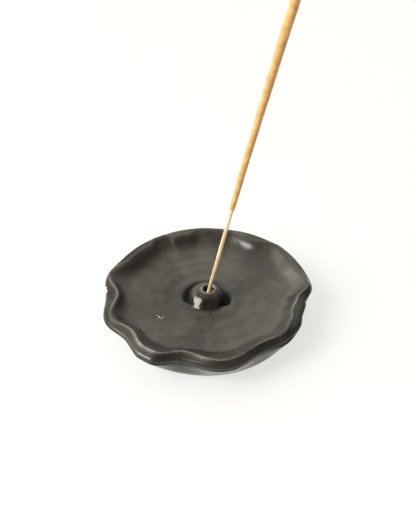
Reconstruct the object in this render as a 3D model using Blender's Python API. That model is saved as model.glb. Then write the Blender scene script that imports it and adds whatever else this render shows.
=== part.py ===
"""Incense burner: a ceramic dish with a finger-fluted rim, the button that holds the stick, and one stick.

The frame is in metres with +Z up. The origin is on the table under the middle of the dish; -Y is the front.
The dish and the button are glazed clay. The stick is a bamboo core inside a tube of rolled incense paste.
The dimensions below are in millimetres and degrees, and every mesh is scaled to metres as it is made.
"""

import math

import bpy
from mathutils import Vector

MM = 0.001

# Dish: heights above the table
FLOOR_Z = 10.5
CREST_Z = 16.5
SEAT_Z = 8.2
SOCKET_Z = 6.0
RECESS_Z = 3.0
BELLY_Z = 3.6
FOOT_EDGE_Z = 0.7

# Dish: radii, from its own middle or from the button's
FLOOR_R = 29.0
FOOT_OUTER_R = 40.2
FOOT_INNER_R = 33.0
RECESS_SLOPE = 1.5
GROOVE_R = 12.0
GROOVE_DEPTH = 2.0
GROOVE_FLAT = 0.6
FILL_WIDTH = 1.5
FILL_HEADING = 262.0
FILL_REACH = 0.85
FILL_EASE = 0.5
MID_FLOOR_R = 17.5
FOOT_EDGE_SHARE = 0.3
CREST_WIDTH = 0.9
CREST_ROUND = 0.2

# The belly is fuller towards the front left
BELLY_R = 42.9
BELLY_BULGE = 1.5
BELLY_BULGE_HEADING = 241.0
BELLY_BULGE_SPREAD = 15.0

# The lip's edge, as steps in and up or down from its widest line
EDGE_TOP = (0.7, 0.95)
EDGE_UNDER = (0.5, 0.9)
BODY_DROP = 1.9

# The rim's turning points: heading, radius of the inner wall's foot, radius of the crest, radius and height
# of the lip's outer edge, and how far the wall below the lip stands out past it. Fingers pushed the lip out
# and down at each lobe, and left it in and level at each dent.
RIM = (
    (6, 39.8, 48.4, 50.4, 14.0, -1.0),
    (23, 38.6, 46.2, 49.6, 15.0, -1.2),
    (43, 38.4, 49.0, 50.5, 14.5, -1.2),
    (60, 38.8, 44.9, 48.9, 15.8, -1.2),
    (84, 38.4, 47.6, 49.6, 14.8, -1.2),
    (103, 38.9, 44.8, 48.6, 15.8, -1.2),
    (112, 39.0, 44.8, 48.5, 15.8, -1.2),
    (121, 39.6, 48.0, 49.2, 14.9, -1.2),
    (132, 38.8, 44.6, 48.5, 15.6, -1.2),
    (150, 38.6, 44.7, 48.4, 15.4, -1.2),
    (165, 39.2, 48.9, 50.4, 14.2, -1.2),
    (184, 38.7, 42.3, 48.2, 14.2, -1.2),
    (203, 40.5, 47.8, 51.1, 13.6, -1.2),
    (219, 37.8, 44.0, 48.6, 13.8, -1.2),
    (239, 37.8, 48.0, 51.8, 13.6, -0.2),
    (256, 35.8, 42.6, 46.4, 13.6, -1.2),
    (279, 36.6, 47.1, 50.0, 13.3, -0.5),
    (304, 35.0, 43.0, 46.0, 13.6, -0.8),
    (320, 37.0, 45.0, 47.9, 13.8, 0.3),
    (331, 37.4, 43.3, 48.3, 13.8, -0.5),
    (342, 35.4, 41.4, 46.7, 14.0, -1.0),
    (352, 36.2, 42.4, 47.0, 14.0, -1.0),
)

# The floor dips a little towards the middle and turns up into the wall
BOWL_DEPTH = 0.7
BOWL_R = 36.0
BOWL_POWER = 2.5
WALL_POWER = 1.1
WALL_STEPS = 6

# Button: a low dome with an upright hole a little to the right of its middle
BUTTON_X = -0.2
BUTTON_Y = 1.1
BUTTON_R = 8.9
BUTTON_TOP_Z = 16.1
HOLE_X = 0.5
HOLE_R = 2.6
MOUTH_R = 2.2
MOUTH_DROP = 1.3
HOLE_NECK_DROP = 3.6
CLEARANCE = 0.3

# The button's outside: radius, how far below its top, and how much of the way from the hole's middle to the
# button's own middle the ring has moved
DOME = (
    (2.6, 0.45, 0.0),
    (3.35, 0.0, 0.0),
    (4.1, 0.35, 0.2),
    (6.0, 0.95, 0.6),
    (7.5, 2.2, 1.0),
    (8.5, 4.1, 1.0),
    (8.9, 5.6, 1.0),
)

# Stick: it leans to the front right, and bows a little to the front left on the way up
STICK_LEAN = 15.1
STICK_HEADING = -45.0
STICK_FOOT = Vector((-0.93, 1.62, 6.5))
STICK_LENGTH = 225.0
STICK_BOW = 1.9
BOW_HEADING = -135.0
BAMBOO_R = 0.86
BARE_LENGTH = 67.5
PASTE_COVER = 1.5
PASTE_GAP = 0.12
PASTE_LOW_R = 1.25
PASTE_HIGH_R = 1.7
PASTE_RISE = 90.0

DISH_COLUMNS = 96
BUTTON_COLUMNS = 32
STICK_COLUMNS = 12
STICK_STEP = 12.5
STICK_EDGE = 0.3
PASTE_TAPER = 4.0
PASTE_TAPER_WALL = 0.15
PASTE_END_ROUND = 0.6
PASTE_END_SHARE = 0.7


def clear_scene():
    for old in list(bpy.data.objects):
        bpy.data.objects.remove(old, do_unlink=True)


def add_material(name, colour, roughness):
    material = bpy.data.materials.new(name)
    material.use_nodes = True
    shader = material.node_tree.nodes["Principled BSDF"]
    shader.inputs["Base Color"].default_value = (*colour, 1.0)
    shader.inputs["Roughness"].default_value = roughness
    shader.inputs["Metallic"].default_value = 0.0
    return material


def blend(low, high, share):
    return low + (high - low) * share


def direction(heading):
    angle = math.radians(heading)
    return Vector((math.cos(angle), math.sin(angle), 0.0))


def add_skin(name, rings, middles, material):
    """A closed skin over rings of points in millimetres, each as seen from above, anticlockwise.

    The rings run from the top middle out, down and under. The two middles close the first and the last ring;
    with no middles the last ring joins the first.
    """
    columns = len(rings[0])
    points = [point for ring in rings for point in ring]
    faces = []
    for ring in range(len(rings) if not middles else len(rings) - 1):
        here = ring * columns
        ahead = (ring + 1) % len(rings) * columns
        for column in range(columns):
            beside = (column + 1) % columns
            faces.append((here + column, ahead + column, ahead + beside, here + beside))
    if middles:
        first_middle = len(points)
        last_middle = first_middle + 1
        points += middles
        last = (len(rings) - 1) * columns
        for column in range(columns):
            beside = (column + 1) % columns
            faces.append((first_middle, column, beside))
            faces.append((last_middle, last + beside, last + column))
    mesh = bpy.data.meshes.new(name)
    mesh.from_pydata([Vector(point) * MM for point in points], [], faces)
    mesh.materials.append(material)
    mesh.shade_smooth()
    mesh.set_sharp_from_angle(angle=math.radians(40.0))
    piece = bpy.data.objects.new(name, mesh)
    bpy.context.collection.objects.link(piece)
    return piece


def rim_at(heading):
    """The rim's values at a heading, eased between its turning points."""
    first = RIM[0]
    closing = (first[0] + 360.0, *first[1:])
    heading = (heading - first[0]) % 360.0 + first[0]
    for before, after in zip(RIM, RIM[1:] + (closing,)):
        if heading <= after[0]:
            share = (heading - before[0]) / (after[0] - before[0])
            eased = 0.5 - 0.5 * math.cos(math.pi * share)
            return [blend(low, high, eased) for low, high in zip(before[1:], after[1:])]


def groove_at(heading):
    """1 where the groove round the button is open, easing to 0 at the front, where clay fills it."""
    frontness = math.cos(math.radians(heading - FILL_HEADING))
    share = min(1.0, max(0.0, (FILL_REACH - frontness) / FILL_EASE))
    return share * share * (3.0 - 2.0 * share)


def belly_at(heading):
    """The belly's radius, which is fuller on one side."""
    away = (heading - BELLY_BULGE_HEADING) / BELLY_BULGE_SPREAD
    return BELLY_R + BELLY_BULGE * math.exp(-(away**2))


def floor_at(radius):
    """The floor's height, which rises slightly away from the middle."""
    return FLOOR_Z + BOWL_DEPTH * (radius / BOWL_R) ** BOWL_POWER


def inside_section(heading, foot_r, crest_r):
    """From the socket's bottom out over the seat, the groove and the floor, and up the wall to the crest."""
    dish = Vector((0.0, 0.0, 0.0))
    button = Vector((BUTTON_X, BUTTON_Y, 0.0))
    hole = Vector((HOLE_X, BUTTON_Y, 0.0))
    groove = groove_at(heading)
    seat_r = BUTTON_R + CLEARANCE
    groove_z = FLOOR_Z - GROOVE_DEPTH * groove
    groove_r = blend(seat_r + FILL_WIDTH, GROOVE_R, groove)
    section = [
        (HOLE_R, SOCKET_Z, hole),
        (HOLE_R, SEAT_Z, hole),
        (seat_r, SEAT_Z, button),
        (seat_r, groove_z, button),
        (seat_r + GROOVE_FLAT, groove_z, button),
        (groove_r, FLOOR_Z, button),
        (MID_FLOOR_R, floor_at(MID_FLOOR_R), dish),
        (FLOOR_R, floor_at(FLOOR_R), dish),
    ]
    foot_z = floor_at(foot_r)
    top_r = crest_r - 0.5 * CREST_WIDTH
    for step in range(WALL_STEPS + 1):
        share = step / WALL_STEPS
        height = blend(foot_z, CREST_Z - CREST_ROUND, share**WALL_POWER)
        section.append((blend(foot_r, top_r, share), height, dish))
    return section


def outside_section(heading, crest_r, lip_r, lip_z, bulge):
    """From the crest over the lip, down the belly to the foot ring, and up into the recess under the dish."""
    dish = Vector((0.0, 0.0, 0.0))
    body_r = lip_r + bulge
    body_z = lip_z - BODY_DROP
    belly_r = belly_at(heading)
    return [
        (crest_r, CREST_Z, dish),
        (crest_r + 0.5 * CREST_WIDTH, CREST_Z - CREST_ROUND, dish),
        (lip_r - EDGE_TOP[0], lip_z + EDGE_TOP[1], dish),
        (lip_r, lip_z, dish),
        (lip_r - EDGE_UNDER[0], lip_z - EDGE_UNDER[1], dish),
        (body_r, body_z, dish),
        (blend(body_r, belly_r, 0.5), blend(body_z, BELLY_Z, 0.5), dish),
        (belly_r, BELLY_Z, dish),
        (blend(FOOT_OUTER_R, belly_r, FOOT_EDGE_SHARE), FOOT_EDGE_Z, dish),
        (FOOT_OUTER_R, 0.0, dish),
        (FOOT_INNER_R, 0.0, dish),
        (FOOT_INNER_R - RECESS_SLOPE, RECESS_Z, dish),
    ]


def dish_section(heading):
    """One section of the dish as (radius, height, middle), where middle is the point the radius is from."""
    foot_r, crest_r, lip_r, lip_z, bulge = rim_at(heading)
    return inside_section(heading, foot_r, crest_r) + outside_section(heading, crest_r, lip_r, lip_z, bulge)


def make_dish(material):
    headings = [360.0 * column / DISH_COLUMNS for column in range(DISH_COLUMNS)]
    sections = [dish_section(heading) for heading in headings]
    rings = []
    for level in range(len(sections[0])):
        ring = []
        for heading, section in zip(headings, sections):
            radius, height, middle = section[level]
            ring.append(middle + direction(heading) * radius + Vector((0.0, 0.0, height)))
        rings.append(ring)
    middles = [Vector((HOLE_X, BUTTON_Y, SOCKET_Z)), Vector((0.0, 0.0, RECESS_Z))]
    return add_skin("dish_body", rings, middles, material)


def make_button(material):
    """A ring-shaped dome: up the hole, over its mouth, down the outside, and back under along its seat."""
    seat_z = SEAT_Z + CLEARANCE
    section = [
        (HOLE_R, seat_z, 0.0),
        (HOLE_R, BUTTON_TOP_Z - HOLE_NECK_DROP, 0.0),
        (MOUTH_R, BUTTON_TOP_Z - MOUTH_DROP, 0.0),
    ]
    section += [(radius, BUTTON_TOP_Z - drop, shift) for radius, drop, shift in DOME]
    section.append((BUTTON_R, seat_z, 1.0))
    rings = []
    for radius, height, shift in section:
        middle = Vector((blend(HOLE_X, BUTTON_X, shift), BUTTON_Y, height))
        rings.append([middle + direction(360.0 * i / BUTTON_COLUMNS) * radius for i in range(BUTTON_COLUMNS)])
    return add_skin("stick_holder", rings, None, material)


def stick_axis():
    lean = math.radians(STICK_LEAN)
    return direction(STICK_HEADING) * math.sin(lean) + Vector((0.0, 0.0, math.cos(lean)))


def stick_middle(distance):
    """The middle of the stick at a distance from its lower end, on its lean and its slight bow."""
    bow = STICK_BOW * math.sin(math.pi * distance / STICK_LENGTH)
    return STICK_FOOT + stick_axis() * distance + direction(BOW_HEADING) * bow


def stick_ring(distance, radius):
    """A ring square to the stick's axis."""
    across = direction(STICK_HEADING + 90.0)
    along = across.cross(stick_axis())
    ring = []
    for column in range(STICK_COLUMNS):
        angle = 2.0 * math.pi * column / STICK_COLUMNS
        offset = along * math.cos(angle) + across * math.sin(angle)
        ring.append(stick_middle(distance) + offset * radius)
    return ring


def stations(low, high):
    """Evenly spaced distances along the stick, from high to low."""
    count = math.ceil((high - low) / STICK_STEP)
    return [blend(high, low, step / count) for step in range(count + 1)]


def make_bamboo(material):
    top = STICK_LENGTH - PASTE_COVER
    end_r = BAMBOO_R - STICK_EDGE
    rings = [stick_ring(top, end_r)]
    rings += [stick_ring(distance, BAMBOO_R) for distance in stations(STICK_EDGE, top - STICK_EDGE)]
    rings.append(stick_ring(0.0, end_r))
    return add_skin("bamboo_core", rings, [stick_middle(top), stick_middle(0.0)], material)


def paste_radius(distance):
    """The rolled paste is thin where it starts and reaches its full thickness some way up."""
    share = min(1.0, (distance - BARE_LENGTH) / PASTE_RISE)
    return blend(PASTE_LOW_R, PASTE_HIGH_R, share)


def make_paste(material):
    bore = BAMBOO_R + PASTE_GAP
    bore_top = STICK_LENGTH - PASTE_COVER + CLEARANCE
    rings = [stick_ring(STICK_LENGTH, PASTE_END_SHARE * PASTE_HIGH_R)]
    for distance in stations(BARE_LENGTH + PASTE_TAPER, STICK_LENGTH - PASTE_END_ROUND):
        rings.append(stick_ring(distance, paste_radius(distance)))
    rings.append(stick_ring(BARE_LENGTH, bore + PASTE_TAPER_WALL))
    rings += [stick_ring(distance, bore) for distance in reversed(stations(BARE_LENGTH, bore_top))]
    return add_skin("incense_paste", rings, [stick_middle(STICK_LENGTH), stick_middle(bore_top)], material)


def main():
    clear_scene()
    clay_glaze = add_material("charcoal_glaze", (0.024, 0.023, 0.021), 0.3)
    button_glaze = add_material("button_glaze", (0.026, 0.025, 0.023), 0.28)
    bamboo = add_material("bamboo", (0.78, 0.58, 0.36), 0.6)
    paste = add_material("incense_paste", (0.62, 0.36, 0.15), 0.9)
    make_dish(clay_glaze)
    make_button(button_glaze)
    make_bamboo(bamboo)
    make_paste(paste)


main()
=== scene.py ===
"""The looks of the incense burner: glazed dish, glazed button, bamboo core and rolled incense paste.

Everything is in the CAD's frame, in metres with +Z up and -Y at the front. The shapes are worked out in
millimetres, as in the CAD, and scaled as each mesh is made. Headings are degrees from +X.
"""

import math
from collections import namedtuple

import bpy
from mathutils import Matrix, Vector, noise


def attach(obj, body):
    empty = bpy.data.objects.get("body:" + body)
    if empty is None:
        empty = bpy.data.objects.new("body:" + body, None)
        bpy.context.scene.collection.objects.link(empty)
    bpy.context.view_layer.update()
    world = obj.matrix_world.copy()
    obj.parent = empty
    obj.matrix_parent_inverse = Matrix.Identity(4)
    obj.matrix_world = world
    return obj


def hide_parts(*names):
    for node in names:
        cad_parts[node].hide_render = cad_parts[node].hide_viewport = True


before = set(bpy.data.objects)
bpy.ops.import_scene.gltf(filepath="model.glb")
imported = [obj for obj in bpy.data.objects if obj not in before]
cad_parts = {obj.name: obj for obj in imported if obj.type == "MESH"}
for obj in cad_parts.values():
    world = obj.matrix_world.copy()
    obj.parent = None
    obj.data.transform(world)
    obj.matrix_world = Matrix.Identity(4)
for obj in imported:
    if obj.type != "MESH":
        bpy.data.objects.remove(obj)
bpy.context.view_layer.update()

MM = 0.001

# Dish: heights above the table
FLOOR_Z = 10.5
CREST_Z = 16.5
SEAT_Z = 8.2
SOCKET_Z = 6.0
RECESS_Z = 3.0
BELLY_Z = 3.6
FOOT_EDGE_Z = 0.7

# Dish: radii
FLOOR_R = 29.0
BELLY_R = 42.9
FOOT_OUTER_R = 40.2
FOOT_INNER_R = 33.0
GROOVE_R = 12.0
GROOVE_DEPTH = 2.0
GROOVE_GAP = 0.05
BRINK_WIDTH = 0.6

# Near the dish's middle, points above this height are in the socket or on the floor, and others are below
UNDERSIDE_Z = 5.0

# The rim at one heading: radius of the inner wall's foot, radius of the crest, radius and height of the
# lip's outer edge, how far the wall below the lip stands out past it, and how far the crest's rounding
# reaches. RIM gives these at the rim's turning points, after the heading of each.
Rim = namedtuple("Rim", "foot_r crest_r lip_r lip_z bulge crest_reach")
RIM = (
    (6, 39.8, 48.4, 50.4, 14.0, -1.0, 1.0),
    (23, 38.6, 46.2, 49.6, 15.0, -1.2, 2.2),
    (43, 38.4, 49.0, 50.5, 14.5, -1.2, 2.0),
    (60, 38.8, 44.9, 48.9, 15.8, -1.2, 2.4),
    (84, 38.4, 47.6, 49.6, 14.8, -1.2, 2.0),
    (95, 38.7, 47.4, 49.0, 15.5, -1.2, 2.0),
    (103, 38.5, 44.5, 48.6, 15.8, -1.2, 2.2),
    (112, 38.6, 44.5, 48.5, 15.8, -1.2, 2.0),
    (118, 39.5, 47.8, 49.0, 15.1, -1.2, 1.4),
    (124, 39.5, 47.8, 49.1, 15.0, -1.2, 1.4),
    (131, 38.8, 44.6, 48.5, 15.6, -1.2, 2.0),
    (150, 38.6, 44.7, 48.4, 15.4, -1.2, 2.2),
    (165, 39.2, 48.9, 50.4, 14.2, -1.2, 1.6),
    (184, 38.7, 42.3, 48.2, 14.2, -1.2, 0.55),
    (203, 40.5, 47.8, 51.1, 13.6, -1.2, 1.6),
    (219, 37.8, 44.0, 48.6, 13.8, -1.2, 0.5),
    (234, 37.8, 47.6, 51.4, 13.6, -0.3, 0.5),
    (240, 37.7, 47.8, 51.6, 13.6, -0.3, 0.5),
    (256, 35.8, 42.6, 46.4, 13.6, -1.2, 0.5),
    (279, 36.6, 47.1, 50.0, 13.3, -0.5, 0.5),
    (304, 35.0, 43.0, 46.0, 13.6, -0.8, 0.5),
    (320, 37.0, 45.0, 47.9, 13.8, 0.3, 0.55),
    (331, 37.4, 43.3, 48.3, 13.8, -0.5, 0.65),
    (342, 35.4, 41.4, 46.7, 14.0, -1.0, 0.75),
    (352, 36.2, 42.4, 47.0, 14.0, -1.0, 0.85),
)

# The floor rises a little towards the wall, and the wall curves up from it
WALL_FOOT_ROUND = 2.2
WALL_POWER = 1.1
BOWL_DEPTH = 0.7
BOWL_R = 36.0
BOWL_POWER = 2.5

# Rings left on the floor by throwing: radius, width and height
THROWING_RINGS = (
    (21.5, 1.8, 0.10),
    (16.8, 2.6, -0.20),
    (27.5, 2.0, 0.06),
    (31.0, 2.0, -0.06),
)

# Height of the floor's other unevenness: broad swells and small ripples
FLOOR_SWELL = 0.30
FLOOR_RIPPLE = 0.08

# The wall below the lip is fuller at the front left
BELLY_BULGE = 1.5
BELLY_BULGE_HEADING = 241.0
BELLY_BULGE_SPREAD = 15.0

# The lip's edge, as steps in and up or down from its widest line, and how far it rolls over at the right
EDGE_IN = 0.6
EDGE_UP = 1.05
EDGE_UNDER = 0.9
CREASE_DROP = 1.2
BODY_DROP = 1.9
ROLL_HEADING = 330.0
ROLL_SPREAD = 35.0
ROLL_IN = 0.9
ROLL_UP = 0.35

# Where the glaze is painted lighter: painted highlight along the crest, less so where it is rounder, and
# along the lip's edge, and painted reflection of the table on the body below two heights that it fades
# between. Guessed from how light these places are.
CREST_SHEEN_REACH = (0.22, 0.2)
CREST_SHEEN_LOSS = 0.8
CREST_ROUND = (0.7, 1.8)
LIP_SHEEN = 0.15
LIP_SHEEN_REACH = 1.2
BODY_REFLECTION = 0.65
BODY_REFLECTION_Z = (8.6, 10.1)
BODY_TOP_DROP = 1.5

# Where the gloss is dull: on the lip round one heading, fading between two angles from it, in the groove,
# and in a patch of the floor in front of the button. Ash or thin glaze would explain it; that is a guess.
DULL_LIP_HEADING = 205.0
DULL_LIP_FADE = (50.0, 90.0)
DULL_PAST_CREST = (0.3, 1.5)
DULL_OVER_LIP = (-1.0, 0.2)
DULL_WITHIN_LIP = (-1.4, -0.6)
GROOVE_DULL = 0.85
GROOVE_DULL_END = (-0.6, 0.4)
PATCH_DULL = 0.35
PATCH_PLACE = Vector((2.0, -18.0, 0.0))
PATCH_SPREAD = 9.0

# Heights between which the glaze ends on the foot ring
FOOT_BARE_Z = (0.1, 0.35)

# Button
BUTTON_X = -0.2
BUTTON_Y = 1.1
BUTTON_R = 8.9
BUTTON_TOP_Z = 16.1
HOLE_X = 0.5
HOLE_R = 2.6
MOUTH_R = 2.15
FILL_R = 11.7
FILL_HEADING = 263.0
RING_R = MOUTH_R + 1.15

# Button's outside, away from the fill and over it: where the dome turns down, its side, and its edge
SHOULDER = ((7.7, 13.9), (7.5, 13.4))
SIDE = ((8.7, 12.1), (8.9, 12.0))
EDGE = ((BUTTON_R, FLOOR_Z), (FILL_R - 1.5, FLOOR_Z + 0.25))

# The button's unevenness, and the heights between which its raised ring gets painted highlight and its
# hole's orange brown fades out upwards
BUTTON_WOBBLE = 0.06
WOBBLE_R = (4.0, 7.0)
RING_WIDTH = 0.55
RING_SHEEN_Z = (15.2, 15.8)
HOLE_ORANGE_Z = (13.3, 14.3)

# Stick
STICK_LEAN = 15.1
STICK_HEADING = -45.0
STICK_FOOT = Vector((-0.93, 1.62, 6.5))
STICK_LENGTH = 225.0
STICK_BOW = 1.9
BOW_HEADING = -135.0
BAMBOO_R = 0.86
BARE_LENGTH = 67.5
PASTE_COVER = 1.5
PASTE_LOW_R = 1.25
PASTE_HIGH_R = 1.8
PASTE_RISE = 100.0

# How uneven the stick is, in millimetres: the bamboo's square section, fibres and slow waver, and the
# paste's lumps and finer grain; and the length over which the paste thins to its start
BAMBOO_SQUARE = 0.035
BAMBOO_FIBRE = 0.02
BAMBOO_WAVER = 0.03
PASTE_LUMPS = 0.09
PASTE_FINE_LUMPS = 0.04
PASTE_START = 3.0

# Fineness of the meshes
DISH_COLUMNS = 432
FLOOR_STEPS = 50
BUTTON_COLUMNS = 160
STICK_COLUMNS = 32
BAMBOO_STEPS = 180
PASTE_STEPS = 420


def blend(low, high, share):
    return low + (high - low) * share


def smooth(low, high, value):
    """0 below low, 1 above high, eased between."""
    share = min(1.0, max(0.0, (value - low) / (high - low)))
    return share * share * (3.0 - 2.0 * share)


def bump(value, middle, width):
    """A smooth hump of height 1 at middle, fading over about twice the width."""
    return math.exp(-(((value - middle) / width) ** 2))


def smooth_from(base, span, value):
    """The same as smooth, over a span of two distances from base."""
    return smooth(base + span[0], base + span[1], value)


def blend_pair(pairs, share):
    """The point (radius, height) that share of the way from the first of two to the second."""
    return tuple(blend(low, high, share) for low, high in zip(*pairs))


def direction(heading):
    angle = math.radians(heading)
    return Vector((math.cos(angle), math.sin(angle), 0.0))


def rim_at(heading):
    """The rim's values at a heading, eased between its turning points."""
    first = RIM[0]
    closing = (first[0] + 360.0, *first[1:])
    heading = (heading - first[0]) % 360.0 + first[0]
    for before, after in zip(RIM, RIM[1:] + (closing,)):
        if heading <= after[0]:
            share = (heading - before[0]) / (after[0] - before[0])
            eased = 0.5 - 0.5 * math.cos(math.pi * share)
            return Rim(*[blend(low, high, eased) for low, high in zip(before[1:], after[1:])])


def frontness(heading):
    """1 in the middle of the clay that fills the groove, falling to -1 opposite it."""
    return math.cos(math.radians(heading - FILL_HEADING))


def groove_at(heading):
    """1 where the groove round the button is open, easing to 0 at the front, where clay fills it."""
    return 1.0 - smooth(0.26, 0.68, frontness(heading))


def flare_at(heading):
    """1 at the front, where the button's foot spreads out over the filled groove, 0 elsewhere."""
    return smooth(0.64, 0.84, frontness(heading))


def rounded(corners, arc_steps=6, span_steps=3):
    """Points along a path of corners (radius, height, reach), each rounded as far as its reach."""
    path = [Vector(corner[:2]) for corner in corners]
    points = [path[0]]
    for index in range(1, len(path) - 1):
        before, corner, after = path[index - 1 : index + 2]
        reach = corners[index][2]
        start = corner + (before - corner).normalized() * min(reach, 0.48 * (before - corner).length)
        end = corner + (after - corner).normalized() * min(reach, 0.48 * (after - corner).length)
        last = points[-1]
        points += [last.lerp(start, step / span_steps) for step in range(1, span_steps)]
        for step in range(arc_steps + 1):
            share = step / arc_steps
            points.append(start.lerp(corner, share).lerp(corner.lerp(end, share), share))
    last = points[-1]
    points += [last.lerp(path[-1], step / span_steps) for step in range(1, span_steps + 1)]
    return points


def wall_climb(distance):
    """Distance past the wall's foot, rounded so that the floor turns up gently into the wall."""
    return 0.5 * (distance + math.sqrt(distance * distance + WALL_FOOT_ROUND * WALL_FOOT_ROUND))


def floor_height(radius, heading, rim):
    """The dish's inside: a nearly flat floor with throwing rings in it, and a wall that curves up."""
    foot_r = rim.foot_r
    climb = wall_climb(radius - foot_r) / wall_climb(rim.crest_r - foot_r)
    height = FLOOR_Z + (CREST_Z - FLOOR_Z) * climb**WALL_POWER
    height += BOWL_DEPTH * (min(radius, foot_r) / BOWL_R) ** BOWL_POWER
    place = direction(heading) * radius
    clear = smooth(GROOVE_R, GROOVE_R + 2.0, radius)
    level = 1.0 - smooth(foot_r - 1.0, foot_r + 3.0, radius)
    rings = sum(tall * bump(radius, middle, width) for middle, width, tall in THROWING_RINGS)
    height += clear * level * rings
    height += clear * FLOOR_SWELL * noise.noise(place * 0.075 + Vector((3.1, 0.0, 0.0)))
    height += clear * FLOOR_RIPPLE * noise.noise(place * 0.2)
    return height


def middle_section(heading, rim, groove_r):
    """From the socket's bottom out over the seat and the groove to the floor."""
    groove = groove_at(heading)
    groove_z = FLOOR_Z - GROOVE_GAP - GROOVE_DEPTH * groove
    brink_r = groove_r - 0.2
    corners = [
        (HOLE_R, SOCKET_Z, 0.0),
        (HOLE_R, SEAT_Z, 0.3),
        (BUTTON_R - 1.6, SEAT_Z, 0.3),
        (BUTTON_R - 1.0, groove_z, 0.3),
        (BUTTON_R + 0.3, groove_z, 0.3),
        (brink_r, floor_height(groove_r, heading, rim) - 0.2 * groove, 0.7),
        (groove_r + BRINK_WIDTH, floor_height(groove_r + BRINK_WIDTH, heading, rim), 0.0),
    ]
    return rounded(corners, 5, 2)


def outside_section(heading, rim, top_r):
    """From the top of the wall over the crest and the lip, down the belly and under the foot ring."""
    crest_reach, lip_r, lip_z = rim.crest_reach, rim.lip_r, rim.lip_z
    body_r = lip_r + rim.bulge
    body_z = lip_z - BODY_DROP
    belly_r = BELLY_R + BELLY_BULGE * bump(heading, BELLY_BULGE_HEADING, BELLY_BULGE_SPREAD)
    roll = bump(heading, ROLL_HEADING, ROLL_SPREAD)
    corners = [
        (top_r, floor_height(top_r, heading, rim), 0.0),
        (rim.crest_r, CREST_Z + 0.12 * crest_reach, crest_reach),
        (lip_r - EDGE_IN - ROLL_IN * roll, lip_z + EDGE_UP + ROLL_UP * roll, 0.9 + 0.3 * roll),
        (lip_r, lip_z - 0.1, 0.7),
        (lip_r - 0.5, lip_z - EDGE_UNDER, 0.4),
        (min(lip_r, body_r) - 0.5, lip_z - CREASE_DROP, 0.25),
        (body_r, body_z, 0.8),
        (blend(body_r, belly_r, 0.5), blend(body_z, BELLY_Z, 0.5), 2.5),
        (belly_r, BELLY_Z, 2.0),
        (blend(FOOT_OUTER_R, belly_r, 0.3), FOOT_EDGE_Z, 0.8),
        (FOOT_OUTER_R, 0.0, 0.3),
        (FOOT_INNER_R, 0.0, 0.5),
        (FOOT_INNER_R - 1.5, RECESS_Z, 1.2),
        (FOOT_INNER_R - 8.0, RECESS_Z + 0.1, 2.0),
        (4.0, RECESS_Z + 0.2, 1.0),
    ]
    return rounded(corners, 6, 3)


def dish_section(heading):
    """One section of the dish as points (radius, height), from the socket out, over the rim and under."""
    rim = rim_at(heading)
    fill_r = blend(BUTTON_R + 0.6, FILL_R + 0.3, flare_at(heading))
    groove_r = blend(fill_r, GROOVE_R, groove_at(heading))
    section = middle_section(heading, rim, groove_r)
    start_r = groove_r + BRINK_WIDTH
    top_r = rim.crest_r - rim.crest_reach - 0.1
    for step in range(1, FLOOR_STEPS):
        radius = blend(start_r, top_r, step / FLOOR_STEPS)
        section.append(Vector((radius, floor_height(radius, heading, rim))))
    return section + outside_section(heading, rim, top_r)


def button_section(heading):
    """One section of the button as (radius, height): up the hole, over its lip, down the dome and under."""
    flare = flare_at(heading)
    top_z = BUTTON_TOP_Z
    groove_z = FLOOR_Z - GROOVE_GAP - GROOVE_DEPTH * groove_at(heading)
    foot_r = blend(BUTTON_R, FILL_R, flare)
    corners = [
        (HOLE_R, SEAT_Z, 0.0),
        (HOLE_R, 12.5, 1.0),
        (MOUTH_R, top_z - 1.3, 0.8),
        (MOUTH_R + 0.35, top_z - 0.45, 0.4),
        (RING_R, top_z + 0.05, 0.45),
        (MOUTH_R + 1.9, top_z - 0.35, 0.6),
        (6.0, top_z - blend(0.95, 1.3, flare), 1.2),
        (*blend_pair(SHOULDER, flare), 1.2),
        (*blend_pair(SIDE, flare), 1.0),
        (*blend_pair(EDGE, flare), blend(0.9, 2.4, flare)),
        (foot_r, blend(groove_z - 0.05, FLOOR_Z + 0.02, flare), 0.4),
        (foot_r + 0.8 * flare, groove_z - 0.2, 0.0),
    ]
    return rounded(corners, 7, 3)


def add_piece(name, rings, middles, finish=None):
    """A closed skin over rings of points, each anticlockwise from above, from the middle out and under."""
    columns = len(rings[0])
    points = [point for ring in rings for point in ring]
    faces = []
    for ring in range(len(rings) if not middles else len(rings) - 1):
        here = ring * columns
        ahead = (ring + 1) % len(rings) * columns
        for column in range(columns):
            beside = (column + 1) % columns
            faces.append((here + column, ahead + column, ahead + beside, here + beside))
    if middles:
        first_middle = len(points)
        last_middle = first_middle + 1
        points += middles
        last = (len(rings) - 1) * columns
        for column in range(columns):
            beside = (column + 1) % columns
            faces.append((first_middle, column, beside))
            faces.append((last_middle, last + beside, last + column))
    mesh = bpy.data.meshes.new(name)
    mesh.from_pydata([point * MM for point in points], [], faces)
    mesh.shade_smooth()
    for attribute, values in (finish or {}).items():
        layer = mesh.attributes.new(attribute, "FLOAT", "POINT")
        values = values + [values[0]] * (len(points) - len(values))
        layer.data.foreach_set("value", values)
    piece = bpy.data.objects.new(name, mesh)
    bpy.context.scene.collection.objects.link(piece)
    return piece


def thinness(radius, height, rim):
    """How much the glaze is lightened by painted highlight and painted reflection, from 0 to 1."""
    if height < rim.lip_z - BODY_TOP_DROP:
        return BODY_REFLECTION * (1.0 - smooth(*BODY_REFLECTION_Z, height)) if radius > FOOT_INNER_R else 0.0
    crest_width = CREST_SHEEN_REACH[0] + CREST_SHEEN_REACH[1] * rim.crest_reach
    crest = math.hypot(radius - rim.crest_r, height - CREST_Z) / crest_width
    lip = math.hypot(radius - rim.lip_r, height - rim.lip_z) / LIP_SHEEN_REACH
    crisp = 1.0 - CREST_SHEEN_LOSS * smooth(*CREST_ROUND, rim.crest_reach)
    return max(crisp * math.exp(-crest * crest), LIP_SHEEN * math.exp(-lip * lip))


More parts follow.
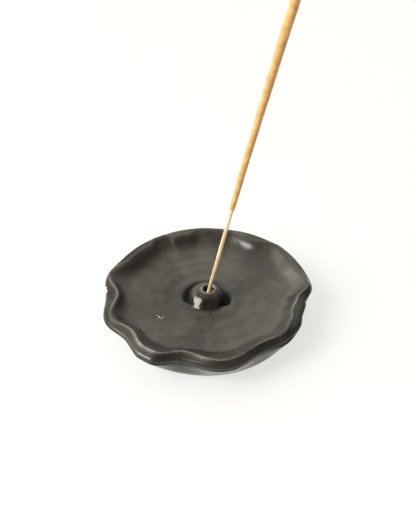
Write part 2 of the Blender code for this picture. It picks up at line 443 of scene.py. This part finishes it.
def dullness(radius, height, heading, rim):
    """How dull the glaze is, from 0 to 1: in the groove, on a patch of the floor and on part of the lip."""
    if radius < GROOVE_R + BRINK_WIDTH:
        return GROOVE_DULL * groove_at(heading) * (1.0 - smooth_from(GROOVE_R, GROOVE_DULL_END, radius))
    if radius < FLOOR_R:
        away = (direction(heading) * radius - PATCH_PLACE).length
        return PATCH_DULL * bump(away, 0.0, PATCH_SPREAD) if height > FLOOR_Z - 1.0 else 0.0
    band = smooth_from(rim.crest_r, DULL_PAST_CREST, radius)
    band *= smooth_from(rim.lip_z, DULL_OVER_LIP, height)
    band *= 1.0 - smooth_from(rim.lip_r, DULL_WITHIN_LIP, radius)
    away = abs((heading - DULL_LIP_HEADING + 180.0) % 360.0 - 180.0)
    return band * (1.0 - smooth(*DULL_LIP_FADE, away))


def bareness(radius, height):
    """1 where there is no glaze: under the foot ring and in the recess inside it."""
    if height >= RECESS_Z + 1.0:
        return 0.0
    return 1.0 - smooth(*FOOT_BARE_Z, height) if radius > FOOT_INNER_R - 2.0 else 1.0


def dish_middle(radius, height):
    """The middle of a ring of the dish: the hole's, then the button's, and the dish's own further out."""
    if height <= UNDERSIDE_Z:
        return Vector((0.0, 0.0, 0.0))
    middle_x = blend(BUTTON_X, HOLE_X, 1.0 - smooth(HOLE_R + 0.5, BUTTON_R - 1.0, radius))
    return Vector((middle_x, BUTTON_Y, 0.0)) * (1.0 - smooth(GROOVE_R + 1.0, FLOOR_R, radius))


def make_dish():
    headings = [360.0 * column / DISH_COLUMNS for column in range(DISH_COLUMNS)]
    columns = [(heading, direction(heading), rim_at(heading), dish_section(heading)) for heading in headings]
    levels = len(columns[0][-1])
    rings = []
    finish = {"thin": [], "bare": [], "bore_orange": [], "dull": []}
    for level in range(levels):
        ring = []
        for heading, way, rim, section in columns:
            radius, height = section[level]
            ring.append(dish_middle(radius, height) + way * radius + Vector((0.0, 0.0, height)))
            # painted highlight on the crest and the lip's edge, and painted reflection of the table on the
            # body below the lip
            finish["thin"].append(thinness(radius, height, rim))
            finish["bare"].append(bareness(radius, height))
            finish["dull"].append(dullness(radius, height, heading, rim))
            in_hole = radius < HOLE_R + 0.3 and height > UNDERSIDE_Z
            finish["bore_orange"].append(1.0 if in_hole else 0.0)
        rings.append(ring)
    middles = [Vector((HOLE_X, BUTTON_Y, SOCKET_Z)), Vector((0.0, 0.0, RECESS_Z + 0.2))]
    dish = add_piece("glazed_dish", rings, middles, finish)
    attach(dish, "dish")
    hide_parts("dish_body")
    return dish


def make_button():
    headings = [360.0 * column / BUTTON_COLUMNS for column in range(BUTTON_COLUMNS)]
    columns = [(direction(heading), button_section(heading)) for heading in headings]
    levels = len(columns[0][-1])
    rings = []
    finish = {"thin": [], "bore_orange": []}
    for level in range(levels):
        ring = []
        for way, section in columns:
            radius, height = section[level]
            shift = 1.0 - smooth(HOLE_R + 0.8, 7.5, radius)
            middle = Vector((blend(BUTTON_X, HOLE_X, shift), BUTTON_Y, height))
            wobble = BUTTON_WOBBLE * noise.noise(way * 1.3 + Vector((0.0, 0.0, height * 0.2)))
            ring.append(middle + way * (radius + wobble * smooth(*WOBBLE_R, radius)))
            # painted highlight on the raised ring round the hole
            finish["thin"].append(bump(radius, RING_R, RING_WIDTH) * smooth(*RING_SHEEN_Z, height))
            in_hole = radius < HOLE_R + 0.2
            finish["bore_orange"].append(1.0 - smooth(*HOLE_ORANGE_Z, height) if in_hole else 0.0)
        rings.append(ring)
    button = add_piece("glazed_button", rings, None, finish)
    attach(button, "dish")
    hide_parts("stick_holder")
    return button


def stick_axis():
    lean = math.radians(STICK_LEAN)
    return direction(STICK_HEADING) * math.sin(lean) + Vector((0.0, 0.0, math.cos(lean)))


def stick_middle(distance):
    """The middle of the stick at a distance from its lower end, on its lean and its slight bow."""
    bow = STICK_BOW * math.sin(math.pi * distance / STICK_LENGTH)
    return STICK_FOOT + stick_axis() * distance + direction(BOW_HEADING) * bow


def stick_ring(distance, radius_at):
    """A ring square to the stick's axis; radius_at gives the radius at a share of the turn."""
    across = direction(STICK_HEADING + 90.0)
    along = across.cross(stick_axis())
    middle = stick_middle(distance)
    ring = []
    for column in range(STICK_COLUMNS):
        turn = column / STICK_COLUMNS
        angle = 2.0 * math.pi * turn
        offset = along * math.cos(angle) + across * math.sin(angle)
        ring.append(middle + offset * radius_at(turn))
    return ring


def on_circle(turn, radius, height):
    """A place on a circle of noise space, so that noise round the stick closes on itself."""
    angle = 2.0 * math.pi * turn
    return Vector((math.cos(angle) * radius, math.sin(angle) * radius, height))


def bamboo_radius(distance, turn):
    """Split bamboo: a round that was shaved from a square sliver, with shallow fibres."""
    square = BAMBOO_SQUARE * math.cos(8.0 * math.pi * turn + 0.6)
    fibre = BAMBOO_FIBRE * noise.noise(on_circle(turn, 4.0, distance * 0.06))
    waver = BAMBOO_WAVER * noise.noise(Vector((7.0, 0.0, distance * 0.05)))
    return BAMBOO_R + square + fibre + waver


def make_bamboo():
    top = STICK_LENGTH - PASTE_COVER
    rings = []
    for step in range(BAMBOO_STEPS + 1):
        distance = blend(top, 0.0, step / BAMBOO_STEPS)
        end = min(1.0, (distance + 0.15) / 0.4, (top - distance + 0.15) / 0.4)
        rings.append(stick_ring(distance, lambda turn: bamboo_radius(distance, turn) * math.sqrt(end)))
    bamboo = add_piece("bamboo_stick", rings, [stick_middle(top), stick_middle(0.0)])
    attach(bamboo, "stick")
    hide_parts("bamboo_core")
    return bamboo


def paste_radius(distance, turn):
    """Hand-rolled paste: slimmer where it starts, thicker higher up, lumpy and never quite round."""
    share = min(1.0, max(0.0, (distance - BARE_LENGTH) / PASTE_RISE))
    radius = blend(PASTE_LOW_R, PASTE_HIGH_R, share)
    around = on_circle(turn, 1.0, distance * 0.12)
    fine = noise.noise(around * 2.6 + Vector((5.0, 0.0, 0.0)))
    radius += PASTE_LUMPS * noise.noise(around * 0.8) + PASTE_FINE_LUMPS * fine
    start = smooth(0.0, PASTE_START, distance - BARE_LENGTH)
    return blend(BAMBOO_R + 0.16, radius, 0.35 + 0.65 * start)


def make_paste():
    low = BARE_LENGTH
    high = STICK_LENGTH
    inner_top = STICK_LENGTH - PASTE_COVER
    rings = []
    for step in range(PASTE_STEPS + 1):
        distance = blend(high, low, step / PASTE_STEPS)
        end = math.sqrt(min(1.0, (high - distance + 0.08) / 0.9))
        rings.append(stick_ring(distance, lambda turn: paste_radius(distance, turn) * end))
    rings.append(stick_ring(low - 0.25, lambda turn: BAMBOO_R + 0.12))
    rings.append(stick_ring(low - 0.1, lambda turn: BAMBOO_R - 0.1))
    rings.append(stick_ring(inner_top, lambda turn: BAMBOO_R - 0.1))
    paste = add_piece("rolled_paste", rings, [stick_middle(high + 0.02), stick_middle(inner_top)])
    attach(paste, "stick")
    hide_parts("incense_paste")
    return paste


class Paint:
    """A material's node tree, with short calls for the nodes that the finishes here are made of."""

    def __init__(self, name):
        self.material = bpy.data.materials.new(name)
        self.material.use_nodes = True
        self.tree = self.material.node_tree
        self.shader = self.tree.nodes["Principled BSDF"]
        self.place = self.add("ShaderNodeTexCoord").outputs["Object"]

    def add(self, kind, **settings):
        made = self.tree.nodes.new(kind)
        for setting, value in settings.items():
            setattr(made, setting, value)
        return made

    def put(self, value, socket):
        if isinstance(value, bpy.types.NodeSocket):
            self.tree.links.new(value, socket)
        else:
            socket.default_value = value

    def finish(self, socket, value):
        self.put(value, self.shader.inputs[socket])

    def math(self, operation, first, second=0.0):
        made = self.add("ShaderNodeMath", operation=operation)
        self.put(first, made.inputs[0])
        self.put(second, made.inputs[1])
        return made.outputs[0]

    def vector(self, operation, first, second):
        made = self.add("ShaderNodeVectorMath", operation=operation)
        self.put(first, made.inputs[0])
        self.put(second, made.inputs[1])
        return made.outputs["Value" if operation in ("DOT_PRODUCT", "DISTANCE") else "Vector"]

    def noise(self, size, detail=3.0, roughness=0.5, place=None, distortion=0.0):
        """Smooth noise from 0 to 1 whose lumps are about `size` millimetres."""
        made = self.add("ShaderNodeTexNoise")
        self.put(place or self.place, made.inputs["Vector"])
        made.inputs["Scale"].default_value = 1.0 / (size * MM)
        made.inputs["Detail"].default_value = detail
        made.inputs["Roughness"].default_value = roughness
        made.inputs["Distortion"].default_value = distortion
        return made.outputs["Fac"]

    def specks(self, size, place=None):
        """Distance, in cells of about `size` millimetres, to the nearest of a scatter of points."""
        made = self.add("ShaderNodeTexVoronoi")
        self.put(place or self.place, made.inputs["Vector"])
        made.inputs["Scale"].default_value = 1.0 / (size * MM)
        return made.outputs["Distance"], made.outputs["Color"]

    def between(self, value, low, high, start=0.0, end=1.0, ease="SMOOTHSTEP"):
        """start where value is low, end where it is high, eased between."""
        made = self.add("ShaderNodeMapRange", interpolation_type=ease)
        self.put(value, made.inputs["Value"])
        made.inputs["From Min"].default_value = low
        made.inputs["From Max"].default_value = high
        made.inputs["To Min"].default_value = start
        made.inputs["To Max"].default_value = end
        return made.outputs["Result"]

    def mix(self, first, second, share):
        made = self.add("ShaderNodeMix", data_type="RGBA")
        self.put(share, made.inputs["Factor"])
        self.put(first if isinstance(first, bpy.types.NodeSocket) else (*first, 1.0), made.inputs["A"])
        self.put(second if isinstance(second, bpy.types.NodeSocket) else (*second, 1.0), made.inputs["B"])
        return made.outputs["Result"]

    def attribute(self, name):
        return self.add("ShaderNodeAttribute", attribute_name=name).outputs["Fac"]

    def relief(self, height, depth, under=None):
        """Bump from a height of 0 to 1 that stands for `depth` millimetres."""
        made = self.add("ShaderNodeBump")
        made.inputs["Distance"].default_value = depth * MM
        made.inputs["Strength"].default_value = 1.0
        self.put(height, made.inputs["Height"])
        if under is not None:
            self.put(under, made.inputs["Normal"])
        return made.outputs["Normal"]


GLAZE_BLACK = (0.0105, 0.0090, 0.0062)
GLAZE_BROWN = (0.017, 0.0138, 0.0090)
GLAZE_OLIVE = (0.030, 0.0265, 0.0185)
# grey laid on the glaze as painted highlight and painted reflection
GLAZE_SHEEN_GREY = (0.145, 0.138, 0.123)
CLAY = (0.56, 0.47, 0.36)
CLAY_DARK = (0.40, 0.31, 0.22)
SPOT_WHITE = (0.88, 0.85, 0.79)
BORE_BROWN = (0.16, 0.075, 0.028)
BORE_ORANGE = (0.62, 0.34, 0.12)
SPECK = (0.55, 0.50, 0.42)

# Specks in the glaze: the size of a cell in millimetres, each speck's size as a share of it, the span of
# chance numbers above which a cell has one, and how much of a speck's own colour shows
SPECK_CELL = 2.6
SPECK_SIZE = (0.05, 0.09)
SPECK_CHANCE = (0.86, 0.88)
SPECK_SHARE = 0.45

# Roughness of the glaze, from its glossiest to its dullest patch
DISH_ROUGHNESS = (0.19, 0.28)
HOLDER_ROUGHNESS = (0.10, 0.15)
MATT_ROUGHER = 0.5
DULL_ROUGHER = 0.12
GLAZE_IOR = 1.5

# Strength of its reflection, where it is clean and where it is dull, and how much that varies in patches
SHINE_CLEAN = 0.5
SHINE_DULL = 0.20
SHINE_PATCHES = (0.80, 1.14)
SHINE_TINT = (1.0, 0.965, 0.87, 1.0)

# Depth of its unevenness, in millimetres: broad swells, orange peel and fine grain
SWELL_DEPTH = 0.20
PEEL_DEPTH = 0.022
GRAIN_DEPTH = 0.006

# White spots on the glaze: place in millimetres and size
WHITE_SPOTS = (
    (-48.9, 2.8, 14.5, 1.1),
    (-49.0, 0.4, 14.6, 1.5),
    (-48.8, -1.9, 14.4, 0.9),
    (46.6, -6.9, 14.2, 1.0),
    (-22.5, -13.0, 10.8, 0.26),
    (-23.7, -12.2, 10.8, 0.19),
    (-21.4, -13.9, 10.8, 0.21),
    (-22.9, -14.6, 10.8, 0.16),
    (-20.6, -12.4, 10.8, 0.17),
    (25.0, 29.0, 11.2, 0.3),
    (29.5, 32.5, 12.0, 0.25),
)

# Shares of a spot's size: how far its edge wanders, and how far out it is solid
SPOT_RAGGED = 0.4
SPOT_SOLID = 0.75


def white_spots(paint):
    """1 inside the white spots, with ragged edges."""
    ragged = paint.noise(0.9, 2.0)
    total = None
    for x, y, z, size in WHITE_SPOTS:
        reach = size * MM
        away = paint.vector("DISTANCE", paint.place, (x * MM, y * MM, z * MM))
        jag = paint.between(ragged, 0.3, 0.7, -SPOT_RAGGED * reach, SPOT_RAGGED * reach)
        away = paint.math("ADD", away, jag)
        inside = paint.between(away, SPOT_SOLID * reach, reach, 1.0, 0.0)
        total = inside if total is None else paint.math("MAXIMUM", total, inside)
    return total


def glaze_specks(paint):
    """A few small round specks: the nearest points of a scatter, kept where their chance number is high."""
    near, chance = paint.specks(SPECK_CELL)
    rare = paint.between(paint.vector("DOT_PRODUCT", chance, (1.0, 0.0, 0.0)), *SPECK_CHANCE)
    return paint.math("MULTIPLY", paint.between(near, *SPECK_SIZE, 1.0, 0.0), rare)


def glaze_colour(paint):
    """Black and brown in clouds, with olive pools, lighter where painted highlight and painted reflection
    are laid on, and specks.
    """
    cloud = paint.noise(14.0, 4.0, 0.55)
    grain = paint.noise(0.7, 3.0, 0.6)
    colour = paint.mix(GLAZE_BLACK, GLAZE_BROWN, paint.between(cloud, 0.35, 0.65))
    pool = paint.between(paint.noise(22.0, 3.0, 0.5, distortion=0.6), 0.48, 0.66)
    colour = paint.mix(colour, GLAZE_OLIVE, pool)
    colour = paint.mix(colour, GLAZE_BLACK, paint.between(grain, 0.35, 0.6, 0.6, 0.0))
    uneven = paint.between(paint.noise(1.6, 3.0), 0.3, 0.7, 0.55, 1.0)
    # lighter grey laid on as painted highlight and painted reflection
    thin = paint.math("MULTIPLY", paint.attribute("thin"), uneven)
    colour = paint.mix(colour, GLAZE_SHEEN_GREY, thin)
    return paint.mix(colour, SPECK, paint.math("MULTIPLY", glaze_specks(paint), SPECK_SHARE))


def glaze_relief(paint):
    """Broad swells, orange peel on them and fine grain on that."""
    swell = paint.relief(paint.noise(7.0, 2.0, 0.4), SWELL_DEPTH)
    peel = paint.relief(paint.noise(1.5, 3.0, 0.55), PEEL_DEPTH, swell)
    return paint.relief(paint.noise(0.35, 3.0, 0.6), GRAIN_DEPTH, peel)


def glaze_material(name, spotted, roughness):
    """Black-brown glaze over buff clay, which shows where it is bare, with orange brown inside the holes and
    a few white spots.
    """
    paint = Paint(name)
    bore_orange = paint.attribute("bore_orange")
    bare = paint.attribute("bare")
    dull = paint.attribute("dull")
    # orange brown inside the holes, darker and lighter in patches
    bore_colour = paint.mix(BORE_BROWN, BORE_ORANGE, paint.between(paint.noise(2.2, 3.0), 0.4, 0.62))
    clay_colour = paint.mix(CLAY_DARK, CLAY, paint.between(paint.noise(1.1, 4.0, 0.65), 0.3, 0.7))
    colour = paint.mix(glaze_colour(paint), bore_colour, bore_orange)
    colour = paint.mix(colour, clay_colour, bare)
    if spotted:
        white_spot = white_spots(paint)
        colour = paint.mix(colour, SPOT_WHITE, white_spot)
        bare = paint.math("MAXIMUM", bare, white_spot)
    paint.finish("Base Color", colour)
    matt = paint.math("MAXIMUM", bare, bore_orange)
    rough = paint.between(paint.noise(5.0, 4.0, 0.6), 0.3, 0.7, *roughness)
    rough = paint.math("ADD", rough, paint.math("MULTIPLY", matt, MATT_ROUGHER))
    rough = paint.math("ADD", rough, paint.math("MULTIPLY", dull, DULL_ROUGHER))
    paint.finish("Roughness", rough)
    paint.finish("IOR", GLAZE_IOR)
    patches = paint.between(paint.noise(17.0, 3.0, 0.5, distortion=0.5), 0.36, 0.64, *SHINE_PATCHES)
    shine = paint.between(dull, 0.0, 1.0, SHINE_CLEAN, SHINE_DULL)
    paint.finish("Specular IOR Level", paint.math("MULTIPLY", shine, patches))
    paint.finish("Specular Tint", SHINE_TINT)
    paint.finish("Normal", glaze_relief(paint))
    return paint.material


def along_stick(paint, across_scale):
    """Texture space that runs along the stick, drawn out lengthwise."""
    axis = stick_axis()
    across = direction(STICK_HEADING + 90.0)
    side = across.cross(axis)
    joined = paint.add("ShaderNodeCombineXYZ")
    for socket, way, scale in zip(joined.inputs, (side, across, axis), (across_scale, across_scale, 1.0)):
        paint.put(paint.vector("DOT_PRODUCT", paint.place, tuple(way * scale)), socket)
    return joined.outputs[0]


BAMBOO_PALE = (0.86, 0.68, 0.43)
BAMBOO_TAN = (0.66, 0.42, 0.20)
BAMBOO_ROUGHNESS = (0.42, 0.60)
BAMBOO_DEPTH = 0.06
FIBRE_SLENDER = 22.0
STRIP_SLENDER = 12.0
PASTE_PALE = (0.69, 0.41, 0.165)
PASTE_TAN = (0.58, 0.31, 0.105)
PASTE_DARK = (0.33, 0.16, 0.06)
PASTE_ROUGHNESS = (0.78, 0.95)
PASTE_SHINE = 0.2
POWDER_DEPTH = 0.07
LUMP_DEPTH = 0.05
BROWN_LENGTH = 9.0
BROWN_SHARE = 0.35


def bamboo_material():
    """Split bamboo with long fibres of two tones."""
    paint = Paint("bamboo")
    fibres = paint.noise(4.0, 4.0, 0.65, along_stick(paint, FIBRE_SLENDER))
    strips = paint.noise(9.0, 2.0, 0.5, along_stick(paint, STRIP_SLENDER))
    colour = paint.mix(BAMBOO_PALE, BAMBOO_TAN, paint.between(strips, 0.42, 0.66))
    colour = paint.mix(colour, BAMBOO_TAN, paint.between(fibres, 0.52, 0.68, 0.0, 0.6))
    paint.finish("Base Color", colour)
    paint.finish("Roughness", paint.between(fibres, 0.3, 0.7, *BAMBOO_ROUGHNESS))
    paint.finish("Normal", paint.relief(fibres, BAMBOO_DEPTH))
    return paint.material


def paste_material():
    """Rolled wood-powder paste: grainy, with darker flecks, and a little browner at its lower end."""
    paint = Paint("incense_paste")
    powder = paint.noise(0.45, 4.0, 0.65)
    patch = paint.noise(3.0, 3.0, 0.5)
    colour = paint.mix(PASTE_TAN, PASTE_PALE, paint.between(patch, 0.36, 0.64))
    colour = paint.mix(colour, PASTE_DARK, paint.between(powder, 0.54, 0.72, 0.0, 0.5))
    distance = paint.vector("DOT_PRODUCT", paint.place, tuple(stick_axis()))
    start = (STICK_FOOT.dot(stick_axis()) + BARE_LENGTH) * MM
    low = paint.between(distance, start, start + BROWN_LENGTH * MM, BROWN_SHARE, 0.0)
    colour = paint.mix(colour, PASTE_TAN, low)
    paint.finish("Base Color", colour)
    paint.finish("Roughness", paint.between(powder, 0.3, 0.7, *PASTE_ROUGHNESS))
    paint.finish("Specular IOR Level", PASTE_SHINE)
    lumps = paint.relief(paint.noise(1.6, 2.0, 0.5), LUMP_DEPTH)
    paint.finish("Normal", paint.relief(powder, POWDER_DEPTH, lumps))
    return paint.material


TABLE_DARK = (0.184, 0.182, 0.177)
TABLE_LIGHT = (0.192, 0.190, 0.185)
TABLE_OWN_LIGHT = (1.0, 0.985, 0.96, 1.0)
TABLE_OWN_STRENGTH = 0.70
TABLE_ROUGHNESS = 0.9
TABLE_SHINE = 0.1
TABLE_REACH = 4000.0
TABLE_RINGS = 8
TABLE_COLUMNS = 36


def table_material():
    """A pale floor: most of its brightness is its own, so that soft shadows on it still show."""
    paint = Paint("table")
    paint.finish("Base Color", paint.mix(TABLE_DARK, TABLE_LIGHT, paint.noise(40.0, 2.0)))
    paint.finish("Roughness", TABLE_ROUGHNESS)
    paint.finish("Specular IOR Level", TABLE_SHINE)
    paint.finish("Emission Color", TABLE_OWN_LIGHT)
    paint.finish("Emission Strength", TABLE_OWN_STRENGTH)
    return paint.material


def make_table():
    """A flat round of rings, from the outside in, closed by one point in the middle."""
    headings = [360.0 * column / TABLE_COLUMNS for column in range(TABLE_COLUMNS)]
    points = []
    faces = []
    for ring in range(TABLE_RINGS):
        radius = TABLE_REACH * (1.0 - ring / TABLE_RINGS)
        points += [direction(heading) * radius for heading in headings]
        here = ring * TABLE_COLUMNS
        for column in range(TABLE_COLUMNS):
            beside = (column + 1) % TABLE_COLUMNS
            if ring < TABLE_RINGS - 1:
                inner = here + TABLE_COLUMNS
                faces.append((here + column, here + beside, inner + beside, inner + column))
            else:
                faces.append((here + column, here + beside, here + TABLE_COLUMNS))
    points.append(Vector((0.0, 0.0, 0.0)))
    mesh = bpy.data.meshes.new("table")
    mesh.from_pydata([point * MM for point in points], [], faces)
    table = bpy.data.objects.new("table", mesh)
    bpy.context.scene.collection.objects.link(table)
    table.data.materials.append(table_material())


# The room: brighter one way than the others, with one shaded patch and dimmer towards the horizon
ROOM_TINT = (1.0, 0.98, 0.93, 1.0)
ROOM_BRIGHT_WAY = (-0.60, 0.65, 0.30)
ROOM_BRIGHT_REACH = 0.2
ROOM_DIM = 0.28
ROOM_GAIN = 1.45
SHADE_WAY = (-0.19, -0.585, 0.788)
SHADE_EDGE = 0.960
SHADE_SOFT = 0.03
SHADE_DEPTH = 0.85
HORIZON_DIM = 0.55
HORIZON_TOP = 0.55
GLOW_HEADING = 172.0
GLOW_RISE = 38.0
GLOW_WIDTH = 24.0
GLOW_HEIGHT = 12.0
GLOW_STRENGTH = 6.0


class Room:
    """The world's nodes, with short calls for the sums that make up its light."""

    def __init__(self, name):
        self.world = bpy.data.worlds.new(name)
        self.world.use_nodes = True
        self.tree = self.world.node_tree
        self.way = self.tree.nodes.new("ShaderNodeTexCoord").outputs["Generated"]
        parts = self.tree.nodes.new("ShaderNodeSeparateXYZ")
        self.tree.links.new(self.way, parts.inputs[0])
        self.x, self.y, self.z = parts.outputs

    def math(self, operation, *values):
        made = self.tree.nodes.new("ShaderNodeMath")
        made.operation = operation
        for value, socket in zip(values, made.inputs):
            if isinstance(value, float):
                socket.default_value = value
            else:
                self.tree.links.new(value, socket)
        return made.outputs[0]

    def facing(self, way):
        """Highest straight along a way, and lowest opposite it."""
        made = self.tree.nodes.new("ShaderNodeVectorMath")
        made.operation = "DOT_PRODUCT"
        made.inputs[1].default_value = way
        self.tree.links.new(self.way, made.inputs[0])
        return made.outputs["Value"]

    def held(self, value):
        """The value, held between 0 and 1."""
        return self.math("MINIMUM", self.math("MAXIMUM", value, 0.0), 1.0)

    def dimmed(self, light, share, depth):
        """The light, less the given depth of it where share is 1."""
        return self.math("MULTIPLY", light, self.math("SUBTRACT", 1.0, self.math("MULTIPLY", share, depth)))


def wall_light(room):
    """Brighter to the left and behind, shaded in a patch high up at the front, dimmer near the horizon."""
    slope = room.math("MAXIMUM", room.math("ADD", room.facing(ROOM_BRIGHT_WAY), ROOM_BRIGHT_REACH), 0.0)
    light = room.math("MULTIPLY_ADD", slope, ROOM_GAIN, ROOM_DIM)
    into_shade = room.math("SUBTRACT", room.facing(SHADE_WAY), SHADE_EDGE)
    shade = room.held(room.math("MULTIPLY", into_shade, 1.0 / SHADE_SOFT))
    low_down = room.held(room.math("SUBTRACT", 1.0, room.math("MULTIPLY", room.z, 1.0 / HORIZON_TOP)))
    return room.dimmed(room.dimmed(light, shade, SHADE_DEPTH), low_down, HORIZON_DIM)


def glow_light(room):
    """One large soft glow to the left, a little behind the dish."""
    glow_x, glow_y = direction(GLOW_HEADING)[:2]
    ahead = room.math("ADD", room.math("MULTIPLY", room.x, glow_x), room.math("MULTIPLY", room.y, glow_y))
    aside = room.math("MULTIPLY", room.x, glow_y)
    aside = room.math("SUBTRACT", room.math("MULTIPLY", room.y, glow_x), aside)
    turn = room.math("ARCTAN2", aside, ahead)
    rise = room.math("SUBTRACT", room.math("ARCSINE", room.z), math.radians(GLOW_RISE))
    wide = room.math("MULTIPLY", turn, 1.0 / math.radians(GLOW_WIDTH))
    tall = room.math("MULTIPLY", rise, 1.0 / math.radians(GLOW_HEIGHT))
    spread = room.math("ADD", room.math("MULTIPLY", wide, wide), room.math("MULTIPLY", tall, tall))
    return room.math("MULTIPLY", room.math("EXPONENT", room.math("MULTIPLY", spread, -1.0)), GLOW_STRENGTH)


def make_world():
    room = Room("room")
    background = room.tree.nodes["Background"]
    light = room.math("ADD", wall_light(room), glow_light(room))
    room.tree.links.new(light, background.inputs["Strength"])
    background.inputs["Color"].default_value = ROOM_TINT
    bpy.context.scene.world = room.world


def aimed(thing, place, target):
    """Puts a lamp in its place, shining at the target."""
    thing.location = place
    thing.rotation_euler = (Vector(target) - Vector(place)).to_track_quat("-Z", "Y").to_euler()


WINDOW_HEADING = 205.0
WINDOW_RISE = 37.0
WINDOW_AWAY = 1.6
WINDOW_WIDTH = 0.66
WINDOW_HEIGHT = 1.04
WINDOW_POWER = 32.0
WINDOW_COLOUR = (0.93, 0.97, 1.0)
WINDOW_TARGET = (0.0, 0.0, 0.01)


def make_window():
    """One tall soft window to the left of the dish, a little in front of it."""
    light = bpy.data.lights.new("window", "AREA")
    light.shape = "RECTANGLE"
    light.size = WINDOW_WIDTH
    light.size_y = WINDOW_HEIGHT
    light.energy = WINDOW_POWER
    light.color = WINDOW_COLOUR
    lamp = bpy.data.objects.new("window", light)
    bpy.context.scene.collection.objects.link(lamp)
    rise = math.radians(WINDOW_RISE)
    way = direction(WINDOW_HEADING) * math.cos(rise) + Vector((0.0, 0.0, math.sin(rise)))
    aimed(lamp, way * WINDOW_AWAY, WINDOW_TARGET)


# The camera, in metres, degrees up from straight down, and millimetres of lens and sensor
CAMERA_PLACE = (0.000242, -0.316765, 0.290792)
CAMERA_TILT = 51.0
CAMERA_LENS = 61.34
CAMERA_SENSOR = 36.0
CAMERA_NEAR = 0.01


def make_camera():
    data = bpy.data.cameras.new("camera")
    data.lens = CAMERA_LENS
    data.sensor_width = CAMERA_SENSOR
    data.clip_start = CAMERA_NEAR
    camera = bpy.data.objects.new("camera", data)
    camera.location = CAMERA_PLACE
    camera.rotation_euler = (math.radians(CAMERA_TILT), 0.0, 0.0)
    bpy.context.scene.collection.objects.link(camera)
    bpy.context.scene.camera = camera


bpy.context.scene.view_settings.view_transform = "Standard"
make_camera()
make_world()
make_window()
make_table()
make_dish().data.materials.append(glaze_material("dish_glaze", True, DISH_ROUGHNESS))
make_button().data.materials.append(glaze_material("holder_glaze", False, HOLDER_ROUGHNESS))
make_bamboo().data.materials.append(bamboo_material())
make_paste().data.materials.append(paste_material())
